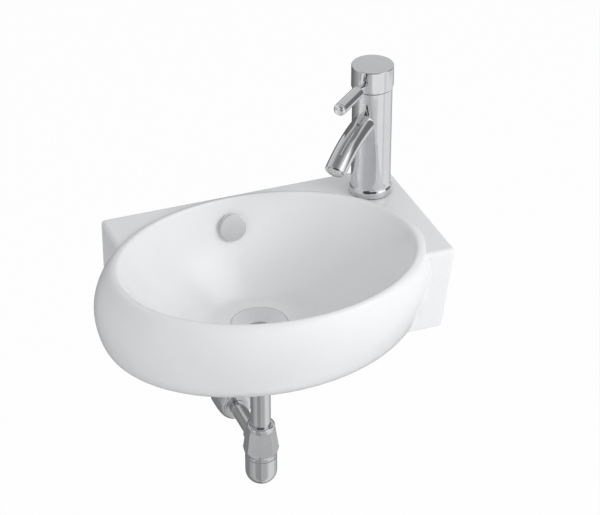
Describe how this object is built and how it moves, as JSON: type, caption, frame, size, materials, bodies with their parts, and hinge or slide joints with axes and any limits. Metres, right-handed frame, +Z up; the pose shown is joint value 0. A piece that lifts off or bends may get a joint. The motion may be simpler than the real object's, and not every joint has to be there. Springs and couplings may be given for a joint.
{
  "type": "wall-hung washbasin",
  "caption": "Small white ceramic wall-hung washbasin with an oval bowl on a slab, single-lever mixer tap with fixed spout, open waste and chromed bottle trap with wall outlet.",
  "frame": {"origin": "wall plane, midway between the wall fixing holes, on the bowl's centre line", "axes": "+X to the right as seen by the user, +Y into the wall, +Z up"},
  "size_m": [0.3984, 0.3201, 0.4936],
  "materials": {
    "basin": "white gloss glaze",
    "chromed": "polished chrome",
    "brass_nuts": "turned brass",
    "rubber": "matt black rubber",
    "white_plastic": "moulded",
    "grey_plastic": "moulded",
    "disc_ceramic": "lapped",
    "steel": "machined"
  },
  "bodies": {
    "washbasin": {"aerator_insert": "white_plastic", "aerator_shell": "chromed", "basin": "basin", "cartridge_gasket": "rubber", "cartridge_housing": "white_plastic", "cartridge_nut": "brass_nuts", "fixed_disc": "disc_ceramic", "fixing_nut": "steel", "fixing_plate": "steel", "fixing_rubber": "rubber", "outlet_seal": "rubber", "outlet_tube": "chromed", "overflow_bush": "white_plastic", "overflow_cover": "chromed", "tailpipe": "chromed", "tap_base_seal": "rubber", "tap_body": "chromed", "tap_spout": "chromed", "tap_stud": "steel", "trap_body": "chromed", "trap_inlet_seal": "rubber", "trap_ring_nut": "chromed", "union_nut": "chromed", "union_seal": "rubber", "waste_back_nut": "brass_nuts", "waste_body": "chromed", "waste_top_seal": "rubber", "waste_washer": "rubber"},
    "cartridge_core": {"cartridge_rotor": "grey_plastic", "pivot_pin": "steel"},
    "handle": {"handle_cap": "chromed", "lever_rod": "chromed", "lever_end": "chromed", "lever_stem": "steel", "grub_screw": "steel"},
    "mixing_disc": {"moving_disc": "disc_ceramic"},
    "cup_gasket": {"trap_cup_seal": "rubber"},
    "cup": {"trap_cup": "chromed"},
    "rosette": {"wall_rosette": "chromed"}
  },
  "joints": [
    {"name": "handle_swivel", "type": "hinge", "parent": "washbasin", "child": "cartridge_core", "pos_m": [0.165, -0.048, 0.1906], "axis": [0, 0, 1], "range_deg": [-45, 45]},
    {"name": "handle_lift", "type": "hinge", "parent": "cartridge_core", "child": "handle", "pos_m": [0.165, -0.048, 0.1906], "axis": [-0.6691, 0.7431, 0], "range_deg": [0, 22]},
    {"name": "disc_slide", "type": "slide", "parent": "cartridge_core", "child": "mixing_disc", "axis": [-0.7431, -0.6691, 0], "range_m": [0, 0.0034]},
    {"name": "cup_lower", "type": "slide", "parent": "washbasin", "child": "cup_gasket", "axis": [0, 0, -1], "range_m": [0, 0.0075]},
    {"name": "cup_unscrew", "type": "hinge", "parent": "cup_gasket", "child": "cup", "pos_m": [0, -0.1185, -0.25], "axis": [0, 0, -1], "range_deg": [0, 1080]},
    {"name": "rosette_slide", "type": "slide", "parent": "washbasin", "child": "rosette", "axis": [0, -1, 0], "range_m": [0, 0.05]}
  ],
  "couplings": [
    {"joint": "disc_slide", "follows": "handle_lift", "m_per_rad": 0.0087805},
    {"joint": "cup_lower", "follows": "cup_unscrew", "m_per_rad": 0.00039789}
  ]
}
